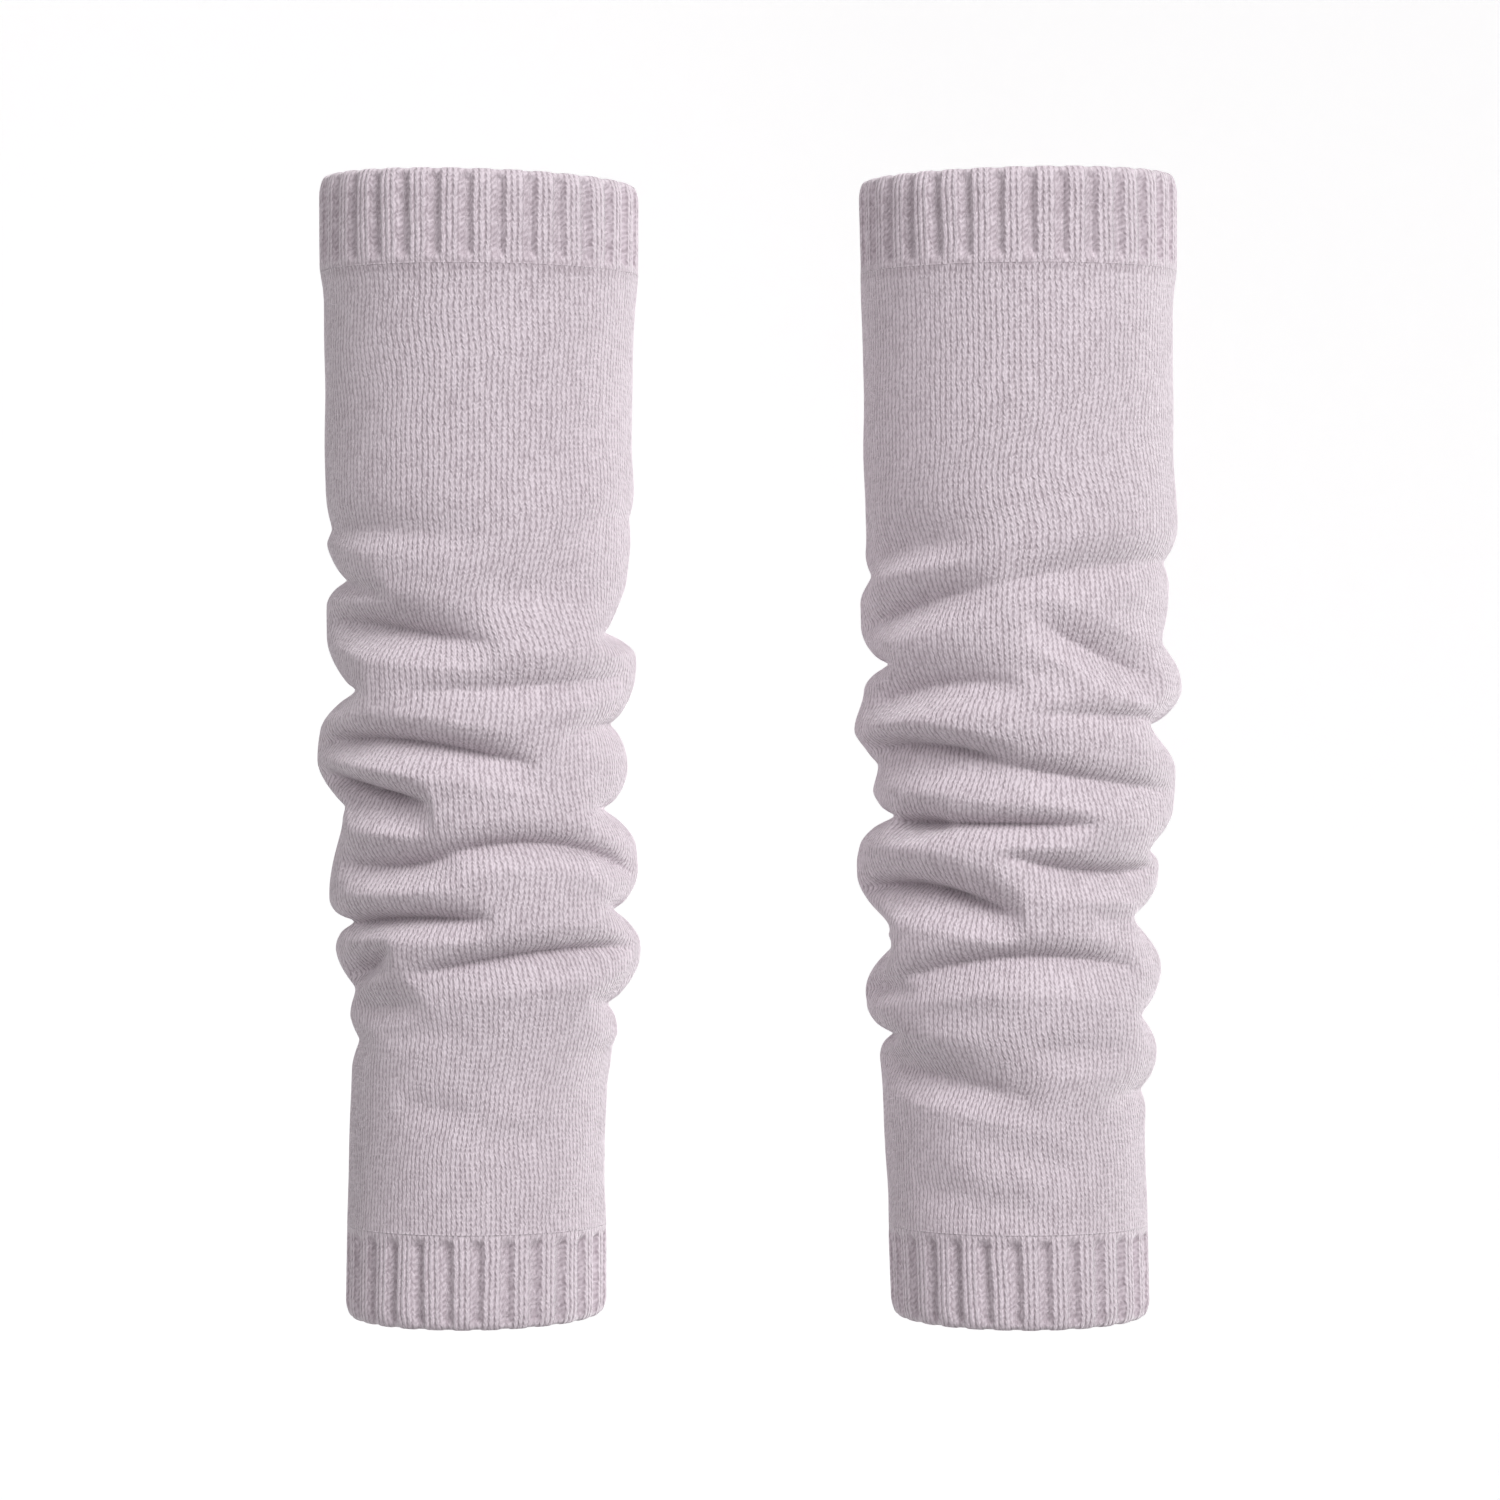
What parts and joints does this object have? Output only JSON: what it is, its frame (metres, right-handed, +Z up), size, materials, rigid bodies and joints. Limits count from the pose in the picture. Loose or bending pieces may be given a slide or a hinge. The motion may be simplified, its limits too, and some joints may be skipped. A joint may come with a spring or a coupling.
{
  "type": "pair of arm warmers",
  "caption": "Pair of slouched, fine-knit arm warmers with ribbed cuffs at both ends, hollow and filled out as if worn.",
  "frame": {"origin": "middle of the upper band of the warmer at the viewer's left, on its centre line, where the upper arm fills it", "axes": "+Z up along both warmers towards their wider ends, +X to the viewer's right from one warmer to the other, the viewer on the -Y side"},
  "size_m": [0.2417, 0.081, 0.3205],
  "materials": {
    "plain_knit": "fine plain knit in a soft, slightly hairy yarn, pale greyish lilac, matt with a soft sheen at its edges",
    "ribbed_knit": "three-by-three ribbed knit in the same yarn, raised ribs with sunk purl gaps"
  },
  "bodies": {
    "root": {"left_upper_cuff": "ribbed_knit", "left_tube": "plain_knit", "left_lower_cuff": "ribbed_knit", "right_upper_cuff": "ribbed_knit", "right_tube": "plain_knit", "right_lower_cuff": "ribbed_knit"}
  },
  "joints": []
}
